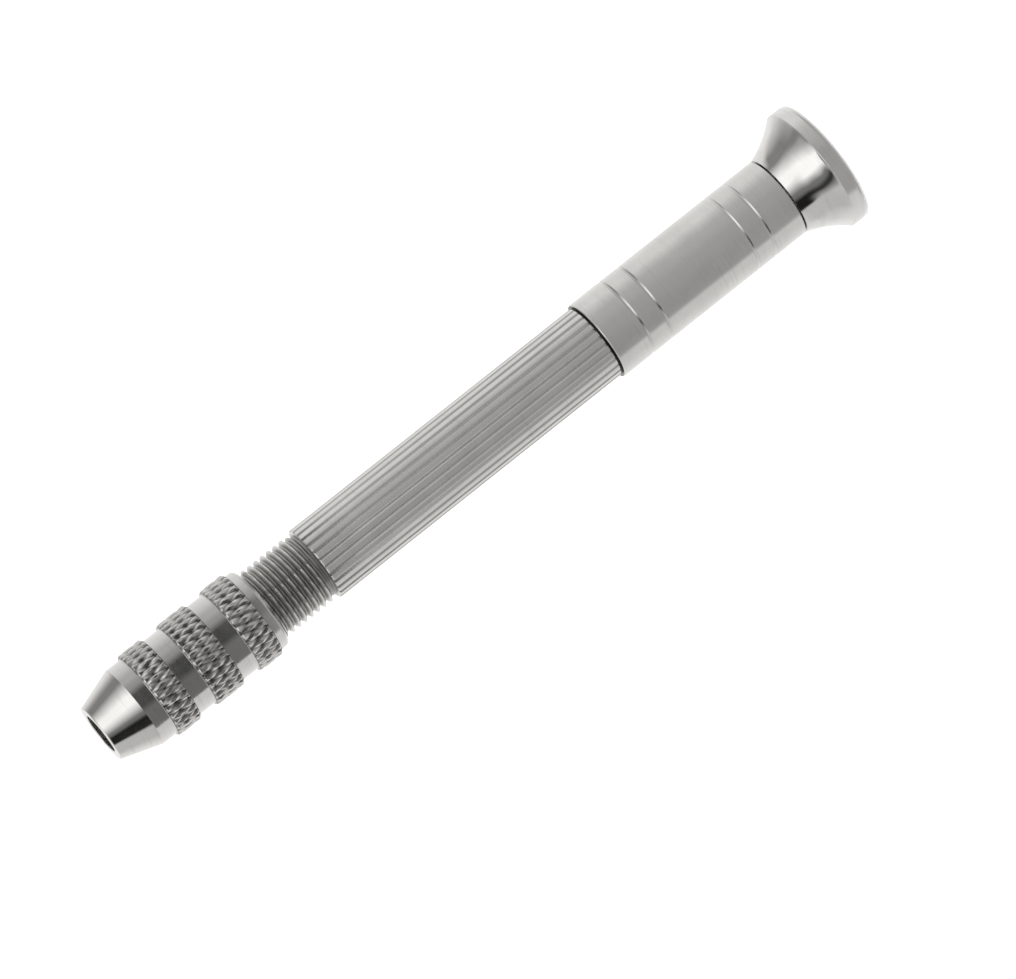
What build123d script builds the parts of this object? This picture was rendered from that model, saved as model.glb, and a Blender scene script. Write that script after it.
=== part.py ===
from build123d import *
import math
import os

# Pin vise drill with a keyless three-jaw chuck and a swivelling palm cap. Millimetres.
# It stands on the flat end of the palm cap: the origin is the centre of that face and
# +Z runs along the tool's axis to the nose of the chuck. The chuck is modelled open.

os.makedirs("parts", exist_ok=True)

# Lengths along the axis, from the palm cap up to the nose.
cap_length = 7.4
swivel_gap = 0.2
rear_sleeve_length = 29.5
fluted_length = 45.2
open_thread_length = 8.5
chuck_length = 25.2

# Outside radii.
cap_radius = 8.65
rear_sleeve_radius = 5.6
fluted_radius = 5.2
collar_radius = 5.7
knurl_radius = 6.175
nose_radius = 3.95
nose_hole_radius = 2.75

# Chuck motion: the sleeve screws down its thread and the jaws close by jaw_travel each.
thread_pitch = 1.0
turns_to_close = 4.25
jaw_travel = 1.3
largest_bit = 3.2

# Clearances.
running_gap = 0.03
face_gap = 0.03

sleeve_travel = turns_to_close * thread_pitch
cone_slope = jaw_travel / sleeve_travel

sleeve_bottom = cap_length + swivel_gap
sleeve_top = sleeve_bottom + rear_sleeve_length
shoulder = sleeve_top + fluted_length
chuck_bottom = shoulder + open_thread_length
nose = chuck_bottom + chuck_length


def half_outline(*points):
    """Closed half section of a turned piece, from (radius, height) points."""
    Polygon(*points, align=None)


def ring_section(inner, outer, bottom, top):
    """Half section of a plain ring."""
    half_outline((inner, bottom), (outer, bottom), (outer, top), (inner, top))


def v_groove(radius, height, width, depth):
    """Half section of a V groove turned into a cylinder of the given radius."""
    half_outline(
        (radius - depth, height),
        (radius + depth, height - width),
        (radius + depth, height + width),
    )


def finish(piece, name):
    """Names a finished piece and writes it."""
    piece.part.label = name
    export_step(piece.part, f"parts/{name}.step")


# Palm cap: trumpet flare, rounded rim and flat end face. Its neck has a recess for the
# thrust washer and a blind tapped hole for the shoulder screw.
rim_round = 0.45
rim_height = 2.1
rim_bevel = 0.12
flare_bend = 15.5
washer_recess_depth = 0.6
washer_recess_radius = 4.3
screw_thread_radius = 1.5
screw_hole_bottom = 2.0
screw_tip_gap = 0.3
recess_floor = cap_length - washer_recess_depth

with BuildPart() as palm_cap:
    with BuildSketch(Plane.XZ):
        with BuildLine():
            end_face = Line((0, 0), (cap_radius - rim_round, 0))
            rim_turn = RadiusArc(end_face @ 1, (cap_radius, rim_round), rim_round, short_sagitta=True)
            rim = Line(rim_turn @ 1, (cap_radius, rim_height - rim_bevel))
            bevel = Line(rim @ 1, (cap_radius - rim_bevel, rim_height))
            flare = RadiusArc(bevel @ 1, (rear_sleeve_radius, cap_length), -flare_bend)
            neck_face = Line(flare @ 1, (0, cap_length))
            Line(neck_face @ 1, end_face @ 0)
        make_face()
    revolve(axis=Axis.Z)
    with BuildSketch(Plane.XZ):
        ring_section(0, washer_recess_radius, recess_floor, cap_length)
        ring_section(0, screw_thread_radius, screw_hole_bottom, recess_floor)
    revolve(axis=Axis.Z, mode=Mode.SUBTRACT)
finish(palm_cap, "palm_cap")

# Swivel: a flanged bush in the rear sleeve's end wall, and a shoulder screw that is
# turned into the cap from inside the sleeve. Its head carries a washer and a disc spring.
bush_bore_radius = 2.0
bush_radius = 3.0
bush_flange_radius = 4.0
bush_flange_bottom = 12.0
bush_flange_thickness = 0.6
bush_top = bush_flange_bottom + bush_flange_thickness
shoulder_screw_radius = bush_bore_radius - running_gap
screw_head_radius = 3.2
screw_head_height = 1.8
screw_head_chamfer = 0.25
head_room = 0.7
washer_gap = 0.02
screw_head_bottom = bush_top + head_room
screw_head_top = screw_head_bottom + screw_head_height
hex_key_flats = 2.5
hex_key_depth = 1.1
washer_hole_radius = bush_bore_radius + 0.1
thrust_washer_side_gap = 0.15
head_washer_radius = 3.7
head_washer_thickness = 0.35
disc_spring_thickness = 0.15
disc_spring_height = 0.25
disc_spring_radius = 3.4

with BuildPart() as swivel_bush:
    with BuildSketch(Plane.XZ):
        ring_section(bush_bore_radius, bush_radius, sleeve_bottom, bush_flange_bottom)
        ring_section(bush_bore_radius, bush_flange_radius, bush_flange_bottom, bush_top)
    revolve(axis=Axis.Z)
finish(swivel_bush, "swivel_bush")

with BuildPart() as shoulder_screw:
    with BuildSketch(Plane.XZ):
        ring_section(0, screw_thread_radius, screw_hole_bottom + screw_tip_gap, recess_floor)
        ring_section(0, shoulder_screw_radius, recess_floor, screw_head_bottom)
        ring_section(0, screw_head_radius, screw_head_bottom, screw_head_top)
    revolve(axis=Axis.Z)
    chamfer(shoulder_screw.edges().sort_by(Axis.Z)[-1], screw_head_chamfer)
    with BuildSketch(Plane.XY.offset(screw_head_top)):
        RegularPolygon(hex_key_flats / 2, 6, major_radius=False)
    extrude(amount=-hex_key_depth, mode=Mode.SUBTRACT)
finish(shoulder_screw, "shoulder_screw")

with BuildPart() as thrust_washer:
    with BuildSketch(Plane.XZ):
        ring_section(
            washer_hole_radius,
            washer_recess_radius - thrust_washer_side_gap,
            recess_floor + face_gap,
            sleeve_bottom - face_gap,
        )
    revolve(axis=Axis.Z)
finish(thrust_washer, "thrust_washer")

head_washer_bottom = bush_top + face_gap
head_washer_top = head_washer_bottom + head_washer_thickness
with BuildPart() as head_washer:
    with BuildSketch(Plane.XZ):
        ring_section(washer_hole_radius, head_washer_radius, head_washer_bottom, head_washer_top)
    revolve(axis=Axis.Z)
finish(head_washer, "head_washer")

disc_spring_bottom = head_washer_top + washer_gap
with BuildPart() as disc_spring:
    with BuildSketch(Plane.XZ):
        half_outline(
            (washer_hole_radius, disc_spring_bottom + disc_spring_height - disc_spring_thickness),
            (disc_spring_radius, disc_spring_bottom),
            (disc_spring_radius, disc_spring_bottom + disc_spring_thickness),
            (washer_hole_radius, disc_spring_bottom + disc_spring_height),
        )
    revolve(axis=Axis.Z)
finish(disc_spring, "disc_spring")

# Rear sleeve: a smooth tube with an end wall for the bush, pressed on the fluted body's
# rear spigot. Two pairs of engraved rings are measured down from its front end.
spigot_radius = 4.6
ring_depths = [4.75, 7.75, 22.0, 24.8]
ring_width = 0.2
ring_cut = 0.14
sleeve_front_chamfer = 0.12
sleeve_rear_chamfer = 0.08

with BuildPart() as rear_sleeve:
    with BuildSketch(Plane.XZ):
        ring_section(bush_radius, rear_sleeve_radius, sleeve_bottom, bush_flange_bottom)
        ring_section(spigot_radius, rear_sleeve_radius, bush_flange_bottom, sleeve_top)
    revolve(axis=Axis.Z)
    outer_rims = rear_sleeve.edges().filter_by(GeomType.CIRCLE).sort_by(SortBy.RADIUS)[-2:]
    chamfer(outer_rims.sort_by(Axis.Z)[-1], sleeve_front_chamfer)
    chamfer(outer_rims.sort_by(Axis.Z)[0], sleeve_rear_chamfer)
    with BuildSketch(Plane.XZ):
        for ring_depth in ring_depths:
            v_groove(rear_sleeve_radius, sleeve_top - ring_depth, ring_width, ring_cut)
    revolve(axis=Axis.Z, mode=Mode.SUBTRACT)
finish(rear_sleeve, "rear_sleeve")

# Fluted body: rear spigot, fluted grip and M10 x 1 threaded spigot, with a blind bore
# along the axis for long shanks and a counterbore for the jaw seat.
flute_count = 28
flute_width = 0.5
flute_depth = 0.24
undercut_radius = 4.9
undercut_width = 0.25
fluted_chamfer = 0.15
rear_spigot_bottom = 20.0
rear_spigot_chamfer = 0.4
front_spigot_chamfer = 0.3
front_spigot_top = 98.5
thread_crest_radius = 4.97
thread_root_radius = 4.4
thread_relief = 0.15
thread_crest_width = 0.125
thread_foot_sink = 0.06
flank_slope = math.tan(math.radians(30))
shank_bore_radius = 1.8
shank_bore_bottom = 58.0
jaw_seat_radius = 3.9
jaw_seat_thickness = 0.9
jaw_seat_bottom = front_spigot_top - jaw_seat_thickness


def thread_ridge(bottom, turn_count, root_radius, crest_radius, crest_width):
    """One right-hand helical ridge with 30 degree flanks. Its foot is sunk into the wall
    that it stands on."""
    height = crest_radius - root_radius
    sunk = math.copysign(thread_foot_sink, height)
    crest = crest_width / 2
    foot = crest + abs(height + sunk) * flank_slope
    with BuildPart() as ridge:
        with BuildLine(Plane.XY.offset(bottom)):
            turns = Helix(thread_pitch, turn_count * thread_pitch, root_radius)
        with BuildSketch(Plane(origin=turns @ 0, x_dir=(1, 0, 0), z_dir=turns % 0)):
            Polygon((-sunk, -foot), (height, -crest), (height, crest), (-sunk, foot), align=None)
        sweep(path=turns, is_frenet=True)
    return ridge.part


male_thread_bottom = shoulder + thread_relief + thread_pitch / 2
male_thread_turns = 14
male_thread = thread_ridge(
    male_thread_bottom,
    male_thread_turns,
    thread_root_radius,
    thread_crest_radius,
    thread_crest_width,
)

with BuildPart() as fluted_body:
    with BuildSketch(Plane.XZ):
        half_outline(
            (0, rear_spigot_bottom),
            (spigot_radius - rear_spigot_chamfer, rear_spigot_bottom),
            (spigot_radius, rear_spigot_bottom + rear_spigot_chamfer),
            (spigot_radius, sleeve_top),
            (undercut_radius, sleeve_top),
            (undercut_radius, sleeve_top + undercut_width),
            (fluted_radius, sleeve_top + undercut_width),
            (fluted_radius, shoulder - fluted_chamfer),
            (fluted_radius - fluted_chamfer, shoulder),
            (thread_root_radius, shoulder),
            (thread_root_radius, front_spigot_top - front_spigot_chamfer),
            (thread_root_radius - front_spigot_chamfer, front_spigot_top),
            (0, front_spigot_top),
        )
    revolve(axis=Axis.Z)
    with BuildSketch(Plane.XY.offset(shoulder)):
        with PolarLocations(fluted_radius, flute_count):
            Polygon(
                (-flute_depth, 0),
                (flute_depth, flute_width),
                (flute_depth, -flute_width),
                align=None,
            )
    extrude(amount=-fluted_length, mode=Mode.SUBTRACT)
    with BuildSketch(Plane.XZ):
        ring_section(0, shank_bore_radius, shank_bore_bottom, jaw_seat_bottom)
        ring_section(0, jaw_seat_radius, jaw_seat_bottom, front_spigot_top)
    revolve(axis=Axis.Z, mode=Mode.SUBTRACT)
    add(male_thread)
finish(fluted_body, "fluted_body")

with BuildPart() as jaw_seat:
    with BuildSketch(Plane.XZ):
        ring_section(shank_bore_radius, jaw_seat_radius, jaw_seat_bottom, front_spigot_top)
    revolve(axis=Axis.Z)
finish(jaw_seat, "jaw_seat")

# Chuck sleeve: knurled bands between plain collars and a conical nose. Inside are the
# female thread, a relief bore and a conical seat for the hardened closing cone.
rear_collar_length = 1.4
outer_knurl_length = 3.55
band_length = 2.5
middle_knurl_length = 4.3
nose_cone_length = 5.25
edge_break = 0.25
rear_break = 0.4
nose_slope = (collar_radius - nose_radius) / nose_cone_length
nose_wall = 1.1
cone_seat_top = nose - nose_wall
cone_radius = 4.4
cone_front_radius = 3.3
cone_side_gap = 0.05
front_bore_radius = cone_radius + cone_side_gap
female_major_radius = 5.06
female_minor_radius = 4.52
female_gap = 0.06
thread_mouth_chamfer = 0.2
turns_below_sleeve = 8.5
relief_depth = 8.6
relief_margin = 0.5
relief_radius = 5.1
relief_bottom = chuck_bottom + relief_depth
relief_top = front_spigot_top + sleeve_travel + relief_margin
seat_front_radius = cone_front_radius + cone_side_gap
seat_bottom = cone_seat_top - (front_bore_radius - seat_front_radius) / nose_slope
snap_ring_thickness = 0.4
snap_ring_play = 0.03
snap_groove_radius = 4.75
cone_bottom = 108.9
snap_groove_distance = 0.6
snap_groove_bottom = cone_bottom - snap_groove_distance
snap_groove_top = snap_groove_bottom + snap_ring_thickness + 2 * snap_ring_play

knurl_3 = chuck_bottom + rear_collar_length
band_2 = knurl_3 + outer_knurl_length
knurl_2 = band_2 + band_length
band_1 = knurl_2 + middle_knurl_length
knurl_1 = band_1 + band_length
front_collar = knurl_1 + outer_knurl_length
knurls = [(knurl_3, band_2), (knurl_2, band_1), (knurl_1, front_collar)]

groove_width = thread_pitch - thread_crest_width
female_crest_width = (
    groove_width - 2 * female_gap - 2 * (thread_crest_radius - female_minor_radius) * flank_slope
)
female_thread_bottom = male_thread_bottom + turns_below_sleeve * thread_pitch
female_thread_turns = 6.75
female_thread = thread_ridge(
    female_thread_bottom,
    female_thread_turns,
    female_major_radius,
    female_minor_radius,
    female_crest_width,
)

with BuildPart() as chuck_sleeve:
    with BuildSketch(Plane.XZ):
        half_outline(
            (0, chuck_bottom),
            (collar_radius - rear_break, chuck_bottom),
            (collar_radius, chuck_bottom + rear_break),
            (collar_radius, nose - nose_cone_length),
            (nose_radius, nose),
            (0, nose),
        )
        for bottom, top in knurls:
            half_outline(
                (0, bottom),
                (knurl_radius - edge_break, bottom),
                (knurl_radius, bottom + edge_break),
                (knurl_radius, top - edge_break),
                (knurl_radius - edge_break, top),
                (0, top),
            )
    revolve(axis=Axis.Z)
    with BuildSketch(Plane.XZ):
        half_outline(
            (0, chuck_bottom),
            (female_major_radius + thread_mouth_chamfer, chuck_bottom),
            (female_major_radius, chuck_bottom + thread_mouth_chamfer),
            (female_major_radius, relief_bottom),
            (relief_radius, relief_bottom),
            (relief_radius, relief_top),
            (front_bore_radius, relief_top),
            (front_bore_radius, snap_groove_bottom),
            (snap_groove_radius, snap_groove_bottom),
            (snap_groove_radius, snap_groove_top),
            (front_bore_radius, snap_groove_top),
            (front_bore_radius, seat_bottom),
            (seat_front_radius, cone_seat_top),
            (nose_hole_radius, cone_seat_top),
            (nose_hole_radius, nose),
            (0, nose),
        )
    revolve(axis=Axis.Z, mode=Mode.SUBTRACT)
    add(female_thread)
finish(chuck_sleeve, "chuck_sleeve")

# Closing cone: the hardened liner that the jaws slide in, held by a snap ring.
cone_top = cone_seat_top - face_gap
cone_mouth_radius = 2.2
cone_rear_radius = cone_mouth_radius + (cone_top - cone_bottom) * cone_slope
cone_taper_bottom = cone_top - (cone_radius - cone_front_radius) / nose_slope

with BuildPart() as closing_cone:
    with BuildSketch(Plane.XZ):
        half_outline(
            (cone_mouth_radius, cone_top),
            (cone_rear_radius, cone_bottom),
            (cone_radius, cone_bottom),
            (cone_radius, cone_taper_bottom),
            (cone_front_radius, cone_top),
        )
    revolve(axis=Axis.Z)
finish(closing_cone, "closing_cone")

snap_ring_radius = snap_groove_radius - snap_ring_play
snap_ring_inner = 4.25
snap_ring_arc = 325
snap_ring_bottom = snap_groove_bottom + snap_ring_play
with BuildPart() as cone_snap_ring:
    with BuildSketch(Plane.XZ):
        ring_section(
            snap_ring_inner, snap_ring_radius, snap_ring_bottom, snap_ring_bottom + snap_ring_thickness
        )
    revolve(axis=Axis.Z, revolution_arc=snap_ring_arc)
finish(cone_snap_ring, "cone_snap_ring")

# Jaws: three sectors with a narrow gripping land, turned to the closing cone's taper.
# They stand on the jaw seat and are drawn at their open place, jaw_travel from closed.
jaw_angles = [90, 210, 330]
jaw_radius = 2.85
jaw_bottom = front_spigot_top + face_gap
jaw_top = 112.3
jaw_land = largest_bit / 2 - jaw_travel
flank_gap = 0.05
flank_tangent = math.tan(math.radians(60))
flank_set_back = 2 * flank_gap
jaw_reach = 3.2
cone_fit_gap = 0.03
closed_cone_top = cone_top - sleeve_travel
jaw_taper_bottom = closed_cone_top - (jaw_radius + cone_fit_gap - cone_mouth_radius) / cone_slope
jaw_tip_radius = jaw_radius - (jaw_top - jaw_taper_bottom) * cone_slope
spring_height = 101.6
spring_pocket_radius = 0.6
spring_pocket_depth = 0.9
spring_seat = 1.75
spring_wire_radius = 0.075
spring_coil_radius = 0.45
spring_turns = 6
spring_end_gap = 0.05


def turned_to(angle, radius=0.0, height=0.0):
    """Horizontal plane at a polar place, with its x axis pointing outward."""
    turn = math.radians(angle)
    outward = Vector(math.cos(turn), math.sin(turn), 0)
    return Plane(origin=outward * radius + Vector(0, 0, height), x_dir=outward, z_dir=(0, 0, 1))


def flank_plane(angle, side):
    """Plane on a jaw's flank at the spring's centre, facing out of the jaw. Side is +1 for
    the flank reached by turning anticlockwise, seen from the nose."""
    flank = math.radians(angle + side * 60)
    along = Vector(math.cos(flank), math.sin(flank), 0) * spring_seat
    outward = Vector(-math.sin(flank), math.cos(flank), 0) * side
    opened = turned_to(angle, jaw_travel).origin
    centre = opened + along - outward * flank_gap + Vector(0, 0, spring_height)
    return Plane(origin=centre, z_dir=outward)


for number, angle in enumerate(jaw_angles, start=1):
    jaw_axis = turned_to(angle, jaw_travel)
    with BuildPart() as jaw:
        with BuildSketch(turned_to(angle, jaw_travel, jaw_bottom)):
            Polygon(
                (jaw_land, jaw_land * flank_tangent - flank_set_back),
                (jaw_reach, jaw_reach * flank_tangent - flank_set_back),
                (jaw_reach, flank_set_back - jaw_reach * flank_tangent),
                (jaw_land, flank_set_back - jaw_land * flank_tangent),
                align=None,
            )
        extrude(amount=jaw_top - jaw_bottom)
        with BuildSketch(Plane(origin=jaw_axis.origin, x_dir=jaw_axis.x_dir, z_dir=-jaw_axis.y_dir)):
            half_outline(
                (0, jaw_bottom),
                (jaw_radius, jaw_bottom),
                (jaw_radius, jaw_taper_bottom),
                (jaw_tip_radius, jaw_top),
                (0, jaw_top),
            )
        revolve(axis=Axis(jaw_axis.origin, (0, 0, 1)), mode=Mode.INTERSECT)
        for side in (1, -1):
            with BuildSketch(flank_plane(angle, side)):
                Circle(spring_pocket_radius)
            extrude(amount=-spring_pocket_depth, mode=Mode.SUBTRACT)
    finish(jaw, f"jaw_{number}")

# Jaw springs: one between each pair of jaws, seated in their pockets at its open length.
flank_spread = 2 * flank_gap + 2 * jaw_travel * math.sin(math.radians(60))
spring_length = flank_spread + 2 * spring_pocket_depth - 2 * (spring_end_gap + spring_wire_radius)
spring_pitch = spring_length / spring_turns

for number, angle in enumerate(jaw_angles, start=1):
    flank = flank_plane(angle, 1)
    start = flank.offset(spring_end_gap + spring_wire_radius - spring_pocket_depth)
    with BuildPart() as jaw_spring:
        with BuildLine():
            coil = Helix(
                spring_pitch, spring_length, spring_coil_radius, center=start.origin, direction=start.z_dir
            )
        with BuildSketch(Plane(origin=coil @ 0, z_dir=coil % 0)):
            Circle(spring_wire_radius)
        sweep(path=coil, is_frenet=True)
    finish(jaw_spring, f"jaw_spring_{number}")
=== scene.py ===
import math

import bpy
import numpy as np
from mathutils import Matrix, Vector


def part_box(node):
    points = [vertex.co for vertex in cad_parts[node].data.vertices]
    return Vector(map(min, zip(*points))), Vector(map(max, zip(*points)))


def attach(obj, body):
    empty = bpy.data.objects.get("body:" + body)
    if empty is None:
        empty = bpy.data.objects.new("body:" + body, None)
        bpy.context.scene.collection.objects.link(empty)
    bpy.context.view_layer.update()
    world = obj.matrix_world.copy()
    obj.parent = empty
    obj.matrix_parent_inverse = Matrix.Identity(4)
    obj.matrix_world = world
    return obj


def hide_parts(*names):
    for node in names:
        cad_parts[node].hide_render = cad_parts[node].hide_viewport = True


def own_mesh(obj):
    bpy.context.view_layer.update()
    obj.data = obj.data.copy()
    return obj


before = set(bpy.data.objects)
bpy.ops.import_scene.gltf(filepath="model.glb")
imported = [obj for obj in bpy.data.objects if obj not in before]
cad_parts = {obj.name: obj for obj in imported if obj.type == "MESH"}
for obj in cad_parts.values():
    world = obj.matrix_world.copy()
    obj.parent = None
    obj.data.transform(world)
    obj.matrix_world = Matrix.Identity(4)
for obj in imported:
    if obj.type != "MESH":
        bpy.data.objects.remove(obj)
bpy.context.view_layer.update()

# Looks of a pin vise drill that stands on its palm cap, with +Z along the tool's axis to
# the nose. Turned pieces are drawn as half outlines of (radius, height) in millimetres,
# measured from the heights of the CAD nodes in model.glb, and become meshes in metres.

MM = 0.001


def top_of(node):
    """Height of a node's highest point, in millimetres."""
    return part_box(node)[1].z / MM


def bottom_of(node):
    """Height of a node's lowest point, in millimetres."""
    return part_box(node)[0].z / MM


def radius_of(node):
    """Largest radius of a turned node, in millimetres."""
    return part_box(node)[1].x / MM


cap_top = top_of("palm_cap")
cap_radius = radius_of("palm_cap")
sleeve_bottom = bottom_of("rear_sleeve")
sleeve_top = top_of("rear_sleeve")
sleeve_radius = radius_of("rear_sleeve")
spigot_bottom = bottom_of("fluted_body")
spigot_top = top_of("fluted_body")
chuck_bottom = bottom_of("chuck_sleeve")
nose = top_of("chuck_sleeve")
knurl_radius = radius_of("chuck_sleeve")
nose_cone_bottom = nose - 5.25
collar_radius = 5.7
cap_rim_height = 2.1


# ---------------------------------------------------------------- meshes of turned pieces


def arc(start, end, centre, steps):
    """Points of a circular arc from start to end round centre, both ends included. It
    takes the shorter way."""
    first = math.atan2(start[1] - centre[1], start[0] - centre[0])
    last = math.atan2(end[1] - centre[1], end[0] - centre[0])
    sweep = (last - first + math.pi) % math.tau - math.pi
    radius = math.dist(start, centre)
    turns = [first + sweep * step / steps for step in range(steps + 1)]
    return [(centre[0] + radius * math.cos(t), centre[1] + radius * math.sin(t)) for t in turns]


def bulge(start, end, radius, side, steps):
    """Points of an arc of the given radius between two points. Side +1 puts its centre on
    the left of the way from start to end, -1 on the right."""
    middle = ((start[0] + end[0]) / 2, (start[1] + end[1]) / 2)
    chord = math.dist(start, end)
    reach = math.sqrt(radius**2 - (chord / 2) ** 2)
    across = ((start[1] - end[1]) / chord, (end[0] - start[0]) / chord)
    centre = (middle[0] + side * reach * across[0], middle[1] + side * reach * across[1])
    return arc(start, end, centre, steps)


def even_angles(count):
    return np.arange(count) * math.tau / count


def ring(radius, height, angles):
    """One ring of points. The radius may be one number or one for each angle."""
    radii = np.broadcast_to(np.asarray(radius, float), angles.shape)
    heights = np.broadcast_to(np.asarray(height, float), angles.shape)
    return np.stack([radii * np.cos(angles), radii * np.sin(angles), heights], 1)


def quads(first, second, count, slant=None):
    """Faces between two equal rings. Slant gives each column's diagonal: 0 leaves the quad
    whole, +1 and -1 split it one way or the other."""
    faces = []
    for j in range(count):
        k = (j + 1) % count
        a, b, c, d = first + j, first + k, second + k, second + j
        way = 0 if slant is None else slant[j]
        if way > 0:
            faces += [(a, b, c), (a, c, d)]
        elif way < 0:
            faces += [(a, b, d), (b, c, d)]
        else:
            faces.append((a, b, c, d))
    return faces


def fans(first, few, second, many):
    """Faces between a ring of few points and a ring of many, a whole number of times more.
    The rings may come in either order."""
    times = many // few
    flipped = False
    faces = []
    for j in range(few):
        k = (j + 1) % few
        half = j * times + times // 2
        for i in range(j * times, (j + 1) * times):
            apex = j if i < half else k
            faces.append((first + apex, second + (i + 1) % many, second + i % many))
        faces.append((first + j, first + k, second + half))
    return faces


def stitched(rings, slants=None, closed=True):
    """Vertices and faces of a turned piece from its rings. A ring of one point is a pole on
    the axis. A closed piece joins its last ring to its first."""
    starts = np.cumsum([0] + [len(points) for points in rings])
    faces = []
    pairs = [(i, i + 1) for i in range(len(rings) - 1)]
    if closed:
        pairs.append((len(rings) - 1, 0))
    for low, high in pairs:
        few, many = len(rings[low]), len(rings[high])
        first, second = int(starts[low]), int(starts[high])
        if few == 1:
            faces += [(first, second + (j + 1) % many, second + j) for j in range(many)]
        elif many == 1:
            faces += [(first + j, first + (j + 1) % few, second) for j in range(few)]
        elif few == many:
            faces += quads(first, second, few, None if slants is None else slants.get(low))
        elif few < many:
            faces += fans(first, few, second, many)
        else:
            faces += [face[::-1] for face in fans(second, many, first, few)]
    return np.concatenate(rings), faces


def make_piece(name, points, faces, body, node, material, sharp=30.0):
    """A shown piece that stands for one CAD node and rides on its body."""
    mesh = bpy.data.meshes.new(name)
    mesh.from_pydata((np.asarray(points) * MM).tolist(), [], faces)
    mesh.validate()
    mesh.polygons.foreach_set("use_smooth", [True] * len(mesh.polygons))
    mesh.set_sharp_from_angle(angle=math.radians(sharp))
    mesh.materials.append(material)
    piece = bpy.data.objects.new(name, mesh)
    bpy.context.scene.collection.objects.link(piece)
    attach(piece, body)
    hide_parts(node)
    return piece


# -------------------------------------------------------------------------- materials


def grey(level, warmth=0.0):
    """A neutral colour, made slightly warmer by lowering its blue."""
    return (level, level * (1 - warmth / 3), level * (1 - warmth), 1.0)


class Surface:
    """A procedural surface: a Principled shader and the nodes that feed it."""

    def __init__(self, name):
        self.material = bpy.data.materials.new(name)
        self.material.use_nodes = True
        self.tree = self.material.node_tree
        self.shader = self.tree.nodes["Principled BSDF"]
        self.place = self.node("ShaderNodeTexCoord").outputs["Object"]
        split = self.node("ShaderNodeSeparateXYZ", Vector=self.place)
        self.x, self.y, self.z = split.outputs
        self.radius = self.math("SQRT", self.math("ADD", self.square(self.x), self.square(self.y)))
        self.normal = None

    def node(self, kind, **inputs):
        made = self.tree.nodes.new(kind)
        for key, value in inputs.items():
            self.feed(made.inputs[key], value)
        return made

    def feed(self, socket, value):
        if isinstance(value, bpy.types.NodeSocket):
            self.tree.links.new(value, socket)
        else:
            socket.default_value = value

    def math(self, operation, first, second=0.0):
        made = self.tree.nodes.new("ShaderNodeMath")
        made.operation = operation
        self.feed(made.inputs[0], first)
        self.feed(made.inputs[1], second)
        return made.outputs[0]

    def square(self, value):
        return self.math("MULTIPLY", value, value)

    def noise(self, vector, scale, detail=2.0, roughness=0.5):
        made = self.node(
            "ShaderNodeTexNoise", Vector=vector, Scale=scale, Detail=detail, Roughness=roughness
        )
        return made.outputs["Fac"]

    def ramp(self, value, low, high, start=0.0, end=1.0):
        """Maps low..high to start..end, held at both ends."""
        made = self.node("ShaderNodeMapRange", Value=value)
        self.feed(made.inputs["From Min"], low)
        self.feed(made.inputs["From Max"], high)
        self.feed(made.inputs["To Min"], start)
        self.feed(made.inputs["To Max"], end)
        return made.outputs["Result"]

    def mix(self, share, first, second):
        made = self.tree.nodes.new("ShaderNodeMix")
        made.data_type = "RGBA"
        self.feed(made.inputs[0], share)
        self.feed(made.inputs[6], first)
        self.feed(made.inputs[7], second)
        return made.outputs[2]

    def turning_marks(self, per_mm, drift=120.0):
        """Noise drawn out round the axis, as a lathe tool leaves it on cylinders, cones
        and faces alike."""
        along = self.math("ADD", self.z, self.math("MULTIPLY", self.radius, 1.31))
        fine = self.math("MULTIPLY", along, per_mm / MM)
        around = self.node("ShaderNodeCombineXYZ")
        self.feed(around.inputs[0], self.math("MULTIPLY", self.x, drift))
        self.feed(around.inputs[1], self.math("MULTIPLY", self.y, drift))
        self.feed(around.inputs[2], fine)
        return self.noise(around.outputs[0], 1.0, 3.0, 0.6)

    def smudges(self, scale=260.0):
        return self.noise(self.place, scale, 4.0, 0.6)

    def bump(self, height, depth_mm, strength=1.0):
        made = self.node("ShaderNodeBump", Height=height, Strength=strength, Distance=depth_mm * MM)
        if self.normal is not None:
            self.feed(made.inputs["Normal"], self.normal)
        self.normal = made.outputs["Normal"]
        self.feed(self.shader.inputs["Normal"], self.normal)

    def set(self, **values):
        for key, value in values.items():
            self.feed(self.shader.inputs[key.replace("_", " ")], value)


# The joint between grip and rear sleeve, where painted shade stands for the shadow in the gap.
seam_bottom = sleeve_top - 0.03
seam_top = sleeve_top + 0.27
seam_radius = 5.47
seam_shade = grey(0.07)


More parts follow.
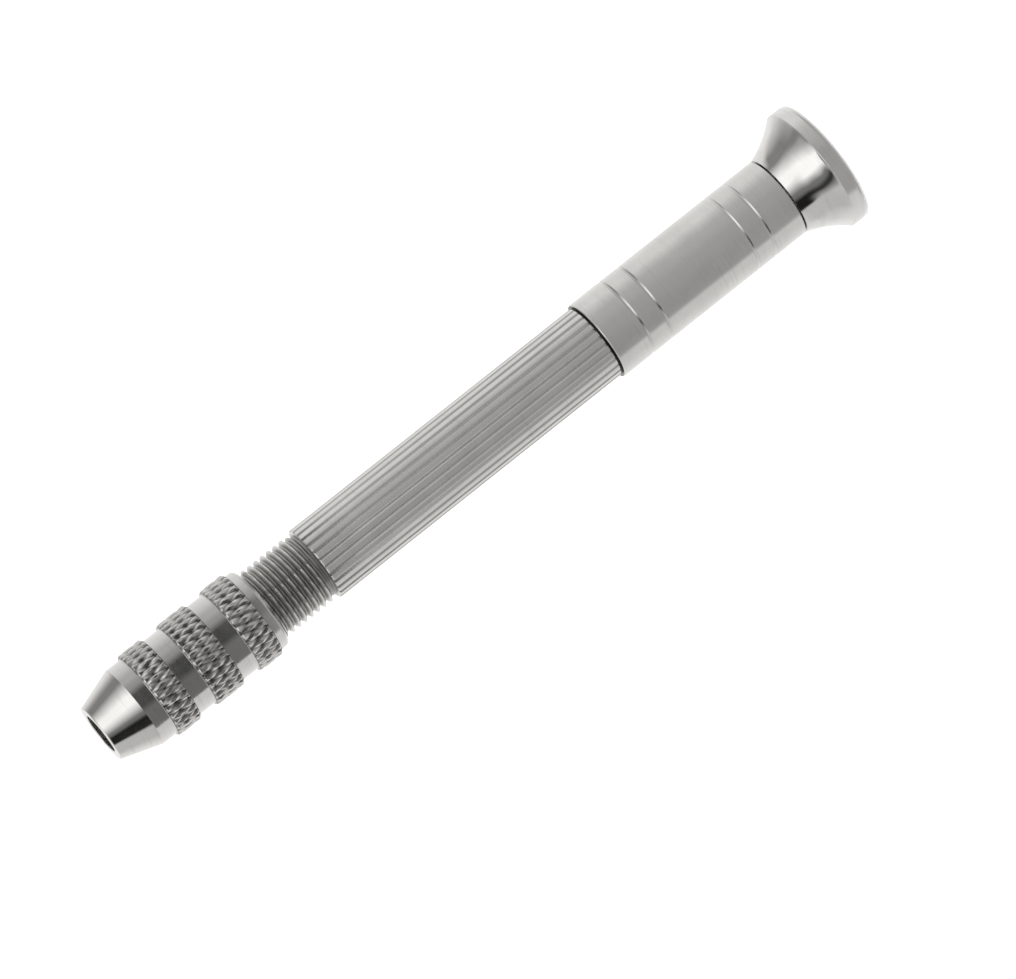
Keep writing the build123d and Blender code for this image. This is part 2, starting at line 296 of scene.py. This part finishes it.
def turned_metal(
    name,
    color,
    dark,
    roughness,
    marks_per_mm=6.0,
    mark_depth=0.0012,
    stretch=0.0,
    groove_radius=None,
    groove_depth=0.2,
    groove_floor=0.0,
    groove_shade=0.3,
    waviness=0.0,
    polish_from=None,
    polish_roughness=0.1,
):
    """Lathe-turned metal with tool marks, faint smudges and painted shade in its grooves.
    Stretch is the anisotropy that draws reflections out along the axis. Painted shade, a
    share groove_shade of the dark colour, darkens the surface below groove_radius and above
    groove_floor; the seam where the grip meets the rear sleeve gets painted shade as well.
    Waviness is the height of slow unevenness in millimetres. Above the height polish_from
    the surface has the polish_roughness."""
    surface = Surface(name)
    marks = surface.turning_marks(marks_per_mm)
    smudge = surface.smudges()
    tone = surface.mix(surface.ramp(smudge, 0.35, 0.7), color, grey(color[0] * 0.93, 0.03))
    tone = surface.mix(surface.ramp(marks, 0.55, 0.8, 0.0, 0.18), tone, dark)
    rough = surface.math("ADD", surface.ramp(smudge, 0.3, 0.75, -0.02, 0.04), roughness)
    rough = surface.math("ADD", rough, surface.ramp(marks, 0.3, 0.7, -0.02, 0.03))
    # Painted shade: the dark colour darkens the hollows below groove_radius and above groove_floor,
    # where shade falls.
    if groove_radius is not None:
        groove_shade_mask = surface.ramp(
            surface.radius, (groove_radius - groove_depth) * MM, groove_radius * MM, 1.0, 0.0
        )
        above = surface.math("GREATER_THAN", surface.radius, groove_floor * MM)
        groove_shade_mask = surface.math("MULTIPLY", groove_shade_mask, above)
        tone = surface.mix(surface.math("MULTIPLY", groove_shade_mask, groove_shade), tone, dark)
        rough = surface.math("ADD", rough, surface.math("MULTIPLY", groove_shade_mask, 0.06))
    # Painted shade in the gap where the grip meets the rear sleeve.
    in_shaded_seam = surface.math("GREATER_THAN", surface.z, seam_bottom * MM)
    for value, limit in ((surface.z, seam_top), (surface.radius, seam_radius)):
        within = surface.math("LESS_THAN", value, limit * MM)
        in_shaded_seam = surface.math("MULTIPLY", in_shaded_seam, within)
    tone = surface.mix(in_shaded_seam, tone, seam_shade)
    if polish_from is not None:
        polished = surface.math("GREATER_THAN", surface.z, polish_from * MM)
        gain = surface.math("MULTIPLY", polished, polish_roughness - roughness)
        rough = surface.math("ADD", rough, gain)
    surface.set(Base_Color=tone, Metallic=1.0, Roughness=rough)
    if stretch:
        tangent = surface.tree.nodes.new("ShaderNodeTangent")
        tangent.direction_type = "RADIAL"
        tangent.axis = "Z"
        surface.set(Anisotropic=stretch, Anisotropic_Rotation=0.25, Tangent=tangent.outputs[0])
    if waviness:
        slow_scale = 210.0
        surface.bump(surface.noise(surface.place, slow_scale, 1.0), waviness)
    surface.bump(marks, mark_depth)
    return surface.material


def moulded_nylon(name):
    surface = Surface(name)
    grain = surface.noise(surface.place, 4200.0, 3.0, 0.6)
    smudge = surface.smudges(500.0)
    tone = surface.mix(surface.ramp(smudge, 0.3, 0.7), (0.78, 0.76, 0.70, 1), (0.69, 0.67, 0.61, 1))
    surface.set(Base_Color=tone, Roughness=surface.ramp(grain, 0.3, 0.7, 0.42, 0.55))
    surface.bump(grain, 0.004)
    return surface.material


def sintered_bronze(name):
    surface = Surface(name)
    grain = surface.noise(surface.place, 5200.0, 3.0, 0.7)
    marks = surface.turning_marks(7.0)
    tone = surface.mix(surface.ramp(grain, 0.35, 0.65), (0.52, 0.33, 0.16, 1), (0.66, 0.44, 0.22, 1))
    surface.set(Base_Color=tone, Metallic=1.0, Roughness=surface.ramp(grain, 0.3, 0.7, 0.3, 0.44))
    surface.bump(surface.math("ADD", grain, marks), 0.002)
    return surface.material


silver = grey(0.80, 0.04)
silver_dark = grey(0.3, 0.06)
satin_nickel = turned_metal(
    "satin_nickel", silver, silver_dark, 0.23, marks_per_mm=5.0, mark_depth=0.0016, stretch=0.75
)
fluted_nickel = turned_metal(
    "fluted_nickel",
    silver,
    silver_dark,
    0.22,
    marks_per_mm=5.0,
    mark_depth=0.0012,
    stretch=0.6,
    # Painted shade in the thread roots and other hollows below groove_radius.
    groove_radius=4.9,
    groove_depth=0.36,
    groove_shade=0.8,
)
knurled_nickel = turned_metal(
    "knurled_nickel",
    silver,
    grey(0.15, 0.06),
    0.165,
    marks_per_mm=4.0,
    mark_depth=0.0022,
    stretch=0.7,
    # Painted shade in the knurl grooves, at full strength.
    groove_radius=knurl_radius - 0.08,
    groove_depth=0.2,
    groove_floor=collar_radius + 0.06,
    groove_shade=1.0,
    polish_from=nose_cone_bottom,
    polish_roughness=0.1,
)
polished_nickel = turned_metal(
    "polished_nickel",
    grey(0.84, 0.035),
    silver_dark,
    0.2,
    marks_per_mm=3.0,
    mark_depth=0.0003,
    waviness=0.25,
    polish_from=cap_rim_height + 0.02,
    polish_roughness=0.06,
)
hardened_steel = turned_metal(
    "hardened_steel", grey(0.46, 0.03), grey(0.2, 0.05), 0.26, marks_per_mm=8.0, mark_depth=0.001
)
spring_steel = turned_metal(
    "spring_steel", grey(0.38, 0.03), grey(0.15, 0.05), 0.3, marks_per_mm=9.0, mark_depth=0.0008
)
plain_steel = turned_metal(
    "plain_steel", grey(0.56, 0.02), grey(0.25, 0.04), 0.28, marks_per_mm=7.0, mark_depth=0.001
)
nylon = moulded_nylon("nylon")
bronze = sintered_bronze("bronze")


# --------------------------------------------------------------------------- palm cap


def make_palm_cap():
    rim_round = 0.6
    rim_bevel = 0.12
    flat_margin = 2.0
    flare_bend = 15.5
    recess_floor = cap_top - 0.6
    recess_radius = 4.3
    hole_radius = 1.5
    hole_bottom = 2.0
    outline = [(0, 0), (cap_radius - rim_round - flat_margin, 0)]
    outline += arc(
        (cap_radius - rim_round, 0), (cap_radius, rim_round), (cap_radius - rim_round, rim_round), 8
    )
    outline += [(cap_radius, cap_rim_height - rim_bevel), (cap_radius - rim_bevel, cap_rim_height)]
    outline += bulge(
        (cap_radius - rim_bevel, cap_rim_height), (sleeve_radius, cap_top), flare_bend, -1, 28
    )[1:]
    outline += [
        (recess_radius, cap_top),
        (recess_radius, recess_floor),
        (hole_radius, recess_floor),
        (hole_radius, hole_bottom),
        (0, hole_bottom),
    ]
    angles = even_angles(192)
    rings = [np.array([[0, 0, z]]) if r == 0 else ring(r, z, angles) for r, z in outline]
    points, faces = stitched(rings, closed=False)
    make_piece(
        "cap_shell", points, faces, "palm_cap", "palm_cap", polished_nickel, 24.0
    )


# ------------------------------------------------------------------------ rear sleeve


def make_rear_sleeve():
    ring_cuts = {4.75: 0.14, 7.75: 0.14, 22.0: 0.09, 24.8: 0.09}
    ring_half_width = 0.2
    ring_half_floor = 0.02
    lip_width = 0.03
    lip_drop = 0.015
    front_chamfer = 0.12
    rear_chamfer = 0.08
    bush_radius = 3.0
    wall_top = 12.0
    bore_radius = 4.6
    outline = [
        (bush_radius, sleeve_bottom),
        (sleeve_radius - rear_chamfer, sleeve_bottom),
        (sleeve_radius, sleeve_bottom + rear_chamfer),
    ]
    for depth, ring_cut in reversed(ring_cuts.items()):
        height = sleeve_top - depth
        outline += [
            (sleeve_radius, height - ring_half_width - lip_width),
            (sleeve_radius - lip_drop, height - ring_half_width),
            (sleeve_radius - ring_cut, height - ring_half_floor),
            (sleeve_radius - ring_cut, height + ring_half_floor),
            (sleeve_radius - lip_drop, height + ring_half_width),
            (sleeve_radius, height + ring_half_width + lip_width),
        ]
    outline += [
        (sleeve_radius, sleeve_top - front_chamfer),
        (sleeve_radius - front_chamfer, sleeve_top),
        (bore_radius, sleeve_top),
        (bore_radius, wall_top),
        (bush_radius, wall_top),
    ]
    angles = even_angles(192)
    points, faces = stitched([ring(r, z, angles) for r, z in outline])
    make_piece(
        "rear_tube", points, faces, "handle", "rear_sleeve", satin_nickel, 24.0
    )


# ------------------------------------------------------------------------ fluted body

fluted_radius = 5.2
turns_below_sleeve = 8.5
shoulder = chuck_bottom - turns_below_sleeve
thread_pitch = 1.0
thread_crest_radius = 4.97
thread_root_radius = 4.4
thread_crest_width = 0.125
thread_relief = 0.15
male_thread_start = shoulder + thread_relief + thread_pitch / 2


def thread_height(phase, depth, crest_width):
    """Height of a 60 degree thread over its root, from the distance to the nearest crest
    as a share of the pitch."""
    away = np.abs(phase - np.round(phase)) * thread_pitch
    fall = (away - crest_width / 2) / math.tan(math.radians(30))
    return np.clip(depth - np.clip(fall, 0, None), 0, depth)


def thread_fade(height, start, end):
    """Share of the full thread at a height. It runs in and out over half a millimetre."""
    overrun = 0.3
    run_out = 0.5
    fade_in = np.clip((height - start + overrun) / run_out, 0, 1)
    fade_out = np.clip((end + overrun - height) / run_out, 0, 1)
    return fade_in * fade_out


def make_fluted_body():
    flute_count = 28
    flute_half_width = 0.25
    flute_depth = 0.24
    undercut_radius = 4.9
    undercut_width = 0.25
    rear_chamfer = 0.05
    front_chamfer = 0.15
    spigot_radius = 4.6
    spigot_break = 0.4
    tip_break = 0.3
    tip_slope = 0.9
    shank_bore_radius = 1.8
    shank_bore_bottom = 58.0
    seat_radius = 3.9
    seat_thickness = 0.9
    thread_turns = 14
    rows_per_pitch = 16
    land = math.tau * fluted_radius / flute_count
    offsets = np.array([-0.31, -0.24, -0.02, 0.02, 0.24, 0.31, land * 0.38, land / 2])
    angles = np.concatenate(
        [even_angles(flute_count)[i] + offsets / fluted_radius for i in range(flute_count)]
    )
    away = np.tile(np.abs(offsets), flute_count)
    cut = flute_depth * np.clip(1 - away / flute_half_width, 0, 1)

    def fluted(radius, height):
        return ring(np.minimum(radius, fluted_radius - cut), height, angles)

    def plain(radius, height):
        return ring(radius, height, angles)

    rings = [
        np.array([[0, 0, spigot_bottom]]),
        plain(spigot_radius - spigot_break, spigot_bottom),
        plain(spigot_radius, spigot_bottom + spigot_break),
        plain(spigot_radius, sleeve_top),
        plain(undercut_radius, sleeve_top),
        plain(undercut_radius, sleeve_top + undercut_width),
        fluted(fluted_radius - rear_chamfer, sleeve_top + undercut_width),
        fluted(fluted_radius, sleeve_top + undercut_width + rear_chamfer),
        fluted(fluted_radius, shoulder - front_chamfer),
        fluted(fluted_radius - front_chamfer, shoulder),
        plain(thread_root_radius, shoulder),
    ]
    thread_end = male_thread_start + thread_turns * thread_pitch
    rows = int((spigot_top - tip_break - shoulder) / thread_pitch * rows_per_pitch)
    for row in range(1, rows):
        height = shoulder + row * thread_pitch / rows_per_pitch
        phase = (height - male_thread_start) / thread_pitch - angles / math.tau
        ridge = thread_height(
            phase, thread_crest_radius - thread_root_radius, thread_crest_width
        )
        fade = thread_fade(height, male_thread_start, thread_end)
        tip_limit = thread_root_radius + (spigot_top - height) * tip_slope
        radius = np.minimum(thread_root_radius + ridge * fade, tip_limit)
        rings.append(plain(radius, height))
    rings += [
        plain(thread_root_radius - tip_break, spigot_top),
        plain(seat_radius, spigot_top),
        plain(seat_radius, spigot_top - seat_thickness),
        plain(shank_bore_radius, spigot_top - seat_thickness),
        plain(shank_bore_radius, shank_bore_bottom),
        np.array([[0, 0, shank_bore_bottom]]),
    ]
    points, faces = stitched(rings, closed=False)
    make_piece(
        "grip_body", points, faces, "handle", "fluted_body", fluted_nickel, 28.0
    )


# ------------------------------------------------------------------------ chuck sleeve


class Knurl:
    """Diamond knurl: two families of V grooves that cross on a cylinder."""

    around = 32
    columns_per_diamond = 15
    row_height = 0.23
    half_columns = 5
    depth = 0.17
    crossing_depth = 0.13
    columns = around * columns_per_diamond
    unevenness = 0.035 * np.random.default_rng(5).random((around, around))

    def __init__(self, bottom, top, edge_break):
        self.bottom = bottom + edge_break
        length = top - bottom - 2 * edge_break
        self.rows = round(length / self.row_height)
        self.step = length / self.rows

    def height_of(self, row):
        return self.bottom + row * self.step

    def radii(self, row):
        """Radius at each column of one row, with slightly uneven diamonds."""
        column = np.arange(self.columns)
        cuts = []
        cells = []
        for way in (1, -1):
            phase = (column + way * row) / self.columns_per_diamond
            near = np.abs(phase - np.round(phase)) * self.columns_per_diamond
            cuts.append(np.clip(1 - near / self.half_columns, 0, 1))
            cells.append((column + way * row) // self.columns_per_diamond % self.around)
        groove = self.depth * np.maximum(*cuts) + self.crossing_depth * np.minimum(*cuts)
        worn = self.unevenness[cells[0], cells[1]] * (groove == 0)
        return knurl_radius - groove - worn

    def slants(self, row):
        """Diagonals between this row and the next, along the nearer family of grooves."""
        column = np.arange(self.columns) + 0.5
        away = []
        for way in (1, -1):
            phase = (column + way * (row + 0.5)) / self.columns_per_diamond
            away.append(np.abs(phase - np.round(phase)))
        return np.where(away[0] < away[1], -1, 1)


def make_chuck_sleeve():
    nose_radius = 3.95
    nose_hole_radius = 2.75
    rear_break = 0.4
    rear_ease = 0.12
    foot = 0.05
    nose_break = 0.06
    hole_break = 0.08
    edge_break = 0.25
    outer_knurl, band, middle_knurl = 3.55, 2.5, 4.3
    first_knurl = chuck_bottom + 1.4
    second_knurl = first_knurl + outer_knurl + band
    third_knurl = second_knurl + middle_knurl + band
    knurls = [
        (first_knurl, first_knurl + outer_knurl),
        (second_knurl, second_knurl + middle_knurl),
        (third_knurl, third_knurl + outer_knurl),
    ]
    angles = even_angles(Knurl.columns)
    rings = []
    slants = {}

    def add(radius, height):
        rings.append(ring(radius, height, angles))

    add(collar_radius - rear_break, chuck_bottom)
    add(collar_radius - rear_ease, chuck_bottom + rear_break / 2)
    add(collar_radius, chuck_bottom + rear_break)
    for bottom, top in knurls:
        knurl = Knurl(bottom, top, edge_break)
        add(collar_radius, bottom - foot)
        add(collar_radius + foot, bottom)
        add(np.minimum(knurl_radius - edge_break, knurl.radii(0)), bottom)
        for row in range(knurl.rows + 1):
            slants[len(rings)] = knurl.slants(row)
            add(knurl.radii(row), knurl.height_of(row))
        del slants[len(rings) - 1]
        add(np.minimum(knurl_radius - edge_break, knurl.radii(knurl.rows)), top)
        add(collar_radius + foot, top)
        add(collar_radius, top + foot)
    add(collar_radius, nose_cone_bottom)
    add(nose_radius + nose_break / 2, nose - 1.5 * nose_break)
    add(nose_radius - nose_break, nose)
    add(nose_hole_radius + hole_break, nose)
    add(nose_hole_radius, nose - hole_break)

    # Inside, from the nose down: nose hole, conical seat, snap groove, relief, thread.
    inner_angles = even_angles(Knurl.columns // 5)
    nose_wall = 1.1
    seat_top = nose - nose_wall
    bore_radius = 4.45
    seat_front_radius = 3.35
    cone_slope = (collar_radius - nose_radius) / (nose - nose_cone_bottom)
    seat_bottom = seat_top - (bore_radius - seat_front_radius) / cone_slope
    groove_top = 108.76
    groove_bottom = 108.3
    groove_radius = 4.75
    relief_top = 103.25
    relief_bottom = chuck_bottom + 8.6
    relief_radius = 5.1
    major_radius = 5.06
    minor_radius = 4.52
    inner = [
        (nose_hole_radius, seat_top),
        (seat_front_radius, seat_top),
        (bore_radius, seat_bottom),
        (bore_radius, groove_top),
        (groove_radius, groove_top),
        (groove_radius, groove_bottom),
        (bore_radius, groove_bottom),
        (bore_radius, relief_top),
        (relief_radius, relief_top),
        (relief_radius, relief_bottom),
        (major_radius, relief_bottom),
    ]
    rings += [ring(r, z, inner_angles) for r, z in inner]
    thread_turns = 6.75
    rows_per_pitch = 10
    crest_width = 0.237
    thread_start = male_thread_start + turns_below_sleeve * thread_pitch
    thread_end = thread_start + thread_turns * thread_pitch
    mouth_margin = 0.3
    mouth_chamfer = 0.2
    thread_length = relief_bottom - chuck_bottom - mouth_margin
    rows = int(thread_length / thread_pitch * rows_per_pitch)
    for row in range(1, rows):
        height = relief_bottom - row * thread_pitch / rows_per_pitch
        phase = (height - thread_start) / thread_pitch - inner_angles / math.tau
        ridge = thread_height(phase, major_radius - minor_radius, crest_width)
        fade = thread_fade(height, thread_start, thread_end)
        rings.append(ring(major_radius - ridge * fade, height, inner_angles))
    rings.append(ring(major_radius, chuck_bottom + mouth_chamfer, inner_angles))
    rings.append(ring(major_radius + mouth_chamfer, chuck_bottom, inner_angles))
    points, faces = stitched(rings, slants)
    make_piece(
        "knurled_sleeve",
        points,
        faces,
        "chuck_sleeve",
        "chuck_sleeve",
        knurled_nickel,
        14.0,
    )


# ------------------------------------------------------------------------ jaw springs


def coil_tube(start, axis, length, coil_radius, wire_radius, turns):
    """Points and faces of a round wire wound into a coil that stands on start."""
    steps_per_turn = 24
    sides = 10
    side_way = axis.orthogonal().normalized()
    other_way = axis.cross(side_way)
    steps = turns * steps_per_turn
    points, faces = [], []
    for step in range(steps + 1):
        turn = math.tau * step / steps_per_turn
        outward = side_way * math.cos(turn) + other_way * math.sin(turn)
        centre = start + outward * coil_radius + axis * (length * step / steps)
        for side in range(sides):
            around = math.tau * side / sides
            reach = outward * math.cos(around) + axis * math.sin(around)
            points.append(tuple(centre + reach * wire_radius))
    for step in range(steps):
        first, second = step * sides, (step + 1) * sides
        for side in range(sides):
            after = (side + 1) % sides
            faces.append((first + side, second + side, second + after, first + after))
    faces.append(tuple(range(sides)))
    faces.append(tuple(steps * sides + side for side in reversed(range(sides))))
    return points, faces


def make_jaw_springs():
    jaw_angles = [90, 210, 330]
    jaw_travel = 1.3
    seat_distance = 1.75
    flank_gap = 0.05
    pocket_depth = 0.9
    coil_height = 101.6
    wire_radius = 0.075
    coil_radius = 0.45
    end_gap = 0.05
    turns = 6
    flank_spread = 2 * flank_gap + 2 * jaw_travel * math.sin(math.radians(60))
    length = flank_spread + 2 * pocket_depth - 2 * (end_gap + wire_radius)
    for number, angle in enumerate(jaw_angles, start=1):
        outward = Vector((math.cos(math.radians(angle)), math.sin(math.radians(angle)), 0))
        flank = math.radians(angle + 60)
        along = Vector((math.cos(flank), math.sin(flank), 0))
        normal = Vector((-math.sin(flank), math.cos(flank), 0))
        pocket = outward * jaw_travel + along * seat_distance
        pocket -= normal * (flank_gap + pocket_depth)
        pocket.z = coil_height
        start = pocket + normal * (end_gap + wire_radius)
        points, faces = coil_tube(start, normal, length, coil_radius, wire_radius, turns)
        name = f"jaw_spring_{number}"
        spring = make_piece(
            f"coil_spring_{number}",
            points,
            faces,
            f"jaw_{number}",
            name,
            spring_steel,
            60.0,
        )
        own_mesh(spring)


# ----------------------------------------------------- materials of carried-over CAD nodes


def dress(node, material):
    """Gives a CAD node a procedural material, and leaves its shape alone."""
    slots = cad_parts[node].data.materials
    if len(slots) == 0:
        slots.append(material)
    for index in range(len(slots)):
        slots[index] = material


make_palm_cap()
make_rear_sleeve()
make_fluted_body()
make_chuck_sleeve()
make_jaw_springs()
for node in ("closing_cone", "jaw_seat", "jaw_1", "jaw_2", "jaw_3"):
    dress(node, hardened_steel)
for node in ("cone_snap_ring", "disc_spring"):
    dress(node, spring_steel)
for node in ("shoulder_screw", "head_washer"):
    dress(node, plain_steel)
dress("swivel_bush", bronze)
dress("thrust_washer", nylon)


# ------------------------------------------------------------------- studio and camera


def make_camera():
    """Long lens, a little above the horizon, rolled so that the nose points down left."""
    distance = 0.802
    elevation = math.radians(10.5)
    roll = math.radians(-128.5)
    aim = Vector((-0.0076, 0, 0.0575))
    data = bpy.data.cameras.new("camera")
    data.lens = 229.6
    data.sensor_width = 36.0
    camera = bpy.data.objects.new("camera", data)
    bpy.context.scene.collection.objects.link(camera)
    toward = Vector((0, -math.cos(elevation), math.sin(elevation)))
    camera.location = aim + toward * distance
    camera.rotation_euler = toward.to_track_quat("Z", "Y").to_euler()
    camera.rotation_euler.rotate_axis("Z", roll)
    bpy.context.scene.camera = camera


def make_floor():
    size = 6.0
    drop = 0.0001
    glow_strength = 0.28
    mesh = bpy.data.meshes.new("floor")
    corners = [(-size, -size, 0), (size, -size, 0), (size, size, 0), (-size, size, 0)]
    mesh.from_pydata(corners, [], [(0, 1, 2, 3)])
    surface = Surface("pale_floor")
    grain = surface.noise(surface.place, 40.0, 3.0)
    tone = surface.mix(surface.ramp(grain, 0.3, 0.7), grey(0.93), grey(0.92))
    surface.set(Base_Color=tone, Roughness=0.9)
    surface.shader.inputs["Specular IOR Level"].default_value = 0.0
    surface.shader.inputs["Emission Color"].default_value = grey(1.0)
    surface.shader.inputs["Emission Strength"].default_value = glow_strength
    mesh.materials.append(surface.material)
    floor = bpy.data.objects.new("floor", mesh)
    floor.location.z = -drop
    floor.visible_glossy = False
    bpy.context.scene.collection.objects.link(floor)


# The studio, as the tool mirrors it. Each stretch is (from, to, level), in degrees round the
# tool from the camera, positive towards -X. The light blends evenly between stretches.
reflection_gain = 1.25
white_walls = (
    (-180, -150, 0.7),  # rear wall
    (-95, -75, 0.2),  # gap beside the softbox
    (-30, -5, 0.95),  # softbox
    (30, 35, 0.15),  # its dim side
    (45, 70, 0.01),  # black flag
    (76, 110, 0.45),  # side reflector
    (150, 180, 0.7),  # rear wall
)
upper_walls = (
    (-180, -150, 0.7),  # rear wall
    (-90, -75, 0.2),  # gap beside the softbox
    (-30, 5, 0.95),  # softbox, wider towards its top
    (25, 30, 0.15),  # its dim side
    (40, 45, 0.03),  # flag
    (65, 110, 0.45),  # side reflector
    (150, 180, 0.7),  # rear wall
)
table_level = (
    (-180, -160, 0.75),
    (-120, -90, 0.65),
    (-55, -50, 0.4),
    (-15, 73, 0.3),
    (79, 100, 0.55),
    (160, 180, 0.75),
)
ceiling_level = 0.72
underneath_level = 0.32

# Elevations in degrees between which one level of the studio gives way to the next, and how
# far the walls' edges lean with height.
table_to_walls = (5, 16)
walls_to_upper_walls = (26, 46)
walls_to_ceiling = (62, 78)
table_to_underneath = (-28, -48)
wall_lean = 0.2

# Levels of the dark card that stands close to the chuck.
dark_card = (
    (-110, -100, 0.6),
    (-72, -60, 0.38),
    (-45, -40, 0.27),
    (-22, 10, 0.04),
    (25, 80, 0.13),
)


def light_ramp(nodes, stretches):
    """A colour ramp over the azimuth, flat over each stretch."""
    made = nodes.new("ShaderNodeValToRGB")
    stops = made.color_ramp.elements
    levels = [(azimuth, level) for start, end, level in stretches for azimuth in (start, end)]
    while len(stops) < len(levels):
        stops.new(0.5)
    for stop, (azimuth, level) in zip(stops, levels):
        stop.position = azimuth / 360 + 0.5
        stop.color = grey(level, 0.012)
    return made


def make_card():
    """A curved dark card that only reflections see. It darkens what the chuck mirrors."""
    radius = 0.04
    bottom = 0.0865
    top = 0.1125
    start = math.radians(-110)
    end = math.radians(76)
    steps = 60
    points = []
    for step in range(steps + 1):
        azimuth = start + (end - start) * step / steps
        for height in (bottom, top):
            points.append((-radius * math.sin(azimuth), -radius * math.cos(azimuth), height))
    faces = [(2 * i, 2 * i + 2, 2 * i + 3, 2 * i + 1) for i in range(steps)]
    mesh = bpy.data.meshes.new("card")
    mesh.from_pydata(points, [], faces)
    surface = Surface("card")
    surface.tree.nodes.remove(surface.shader)
    azimuth = surface.math(
        "ARCTAN2", surface.math("MULTIPLY", surface.x, -1.0), surface.math("MULTIPLY", surface.y, -1.0)
    )
    ramp = light_ramp(surface.tree.nodes, dark_card)
    surface.feed(ramp.inputs[0], surface.math("ADD", surface.math("DIVIDE", azimuth, math.tau), 0.5))
    glow = surface.node("ShaderNodeEmission", Color=ramp.outputs[0], Strength=reflection_gain)
    output = surface.tree.nodes["Material Output"]
    surface.feed(output.inputs["Surface"], glow.outputs[0])
    mesh.materials.append(surface.material)
    card = bpy.data.objects.new("card", mesh)
    for sight in ("camera", "diffuse", "transmission", "shadow"):
        setattr(card, f"visible_{sight}", False)
    bpy.context.scene.collection.objects.link(card)


def make_world():
    """Studio surroundings that only reflections see: the floor and the backdrop stay plain
    and evenly lit."""
    floor_light = 1.35
    backdrop_level = 0.985
    world = bpy.data.worlds.new("studio")
    world.use_nodes = True
    bpy.context.scene.world = world
    tree = world.node_tree
    nodes, links = tree.nodes, tree.links
    nodes.clear()

    def math_node(operation, *values):
        made = nodes.new("ShaderNodeMath")
        made.operation = operation
        for socket, value in zip(made.inputs, values):
            if isinstance(value, bpy.types.NodeSocket):
                links.new(value, socket)
            else:
                socket.default_value = value
        return made.outputs[0]

    def mixed(share, first, second):
        made = nodes.new("ShaderNodeMix")
        made.data_type = "RGBA"
        links.new(share, made.inputs[0])
        for socket, value in ((made.inputs[6], first), (made.inputs[7], second)):
            if isinstance(value, bpy.types.NodeSocket):
                links.new(value, socket)
            else:
                socket.default_value = value
        return made.outputs[2]

    place = nodes.new("ShaderNodeTexCoord")
    split = nodes.new("ShaderNodeSeparateXYZ")
    links.new(place.outputs["Generated"], split.inputs[0])
    x, y, z = split.outputs
    away_x = math_node("MULTIPLY", x, -1.0)
    away_y = math_node("MULTIPLY", y, -1.0)
    azimuth = math_node("ARCTAN2", away_x, away_y)
    share = math_node("ADD", math_node("DIVIDE", azimuth, math.tau), 0.5)
    elevation = math_node("ARCSINE", z)
    edge_lean = math_node("MULTIPLY", elevation, wall_lean / math.tau)
    low = light_ramp(nodes, table_level)
    high = light_ramp(nodes, white_walls)
    upper = light_ramp(nodes, upper_walls)
    links.new(share, low.inputs[0])
    links.new(math_node("ADD", share, edge_lean), high.inputs[0])
    links.new(share, upper.inputs[0])

    def climbed(angles, smooth=False):
        """Share that goes from 0 to 1 as the elevation goes between two angles."""
        made = nodes.new("ShaderNodeMapRange")
        if smooth:
            made.interpolation_type = "SMOOTHSTEP"
        links.new(elevation, made.inputs["Value"])
        made.inputs["From Min"].default_value = math.radians(angles[0])
        made.inputs["From Max"].default_value = math.radians(angles[1])
        return made.outputs["Result"]

    walls = mixed(climbed(walls_to_upper_walls, smooth=True), high.outputs[0], upper.outputs[0])
    lights = mixed(climbed(table_to_walls, smooth=True), low.outputs[0], walls)
    lights = mixed(climbed(walls_to_ceiling), lights, grey(ceiling_level))
    lights = mixed(climbed(table_to_underneath), lights, grey(underneath_level))

    path = nodes.new("ShaderNodeLightPath")
    background = nodes.new("ShaderNodeBackground")
    gained = nodes.new("ShaderNodeVectorMath")
    gained.operation = "SCALE"
    links.new(lights, gained.inputs[0])
    gained.inputs["Scale"].default_value = reflection_gain
    color = mixed(path.outputs["Is Diffuse Ray"], gained.outputs[0], (floor_light,) * 3 + (1,))
    color = mixed(path.outputs["Is Camera Ray"], color, grey(backdrop_level))
    links.new(color, background.inputs["Color"])
    output = nodes.new("ShaderNodeOutputWorld")
    links.new(background.outputs[0], output.inputs["Surface"])


make_camera()
make_floor()
make_card()
make_world()
bpy.context.scene.view_settings.view_transform = "Standard"
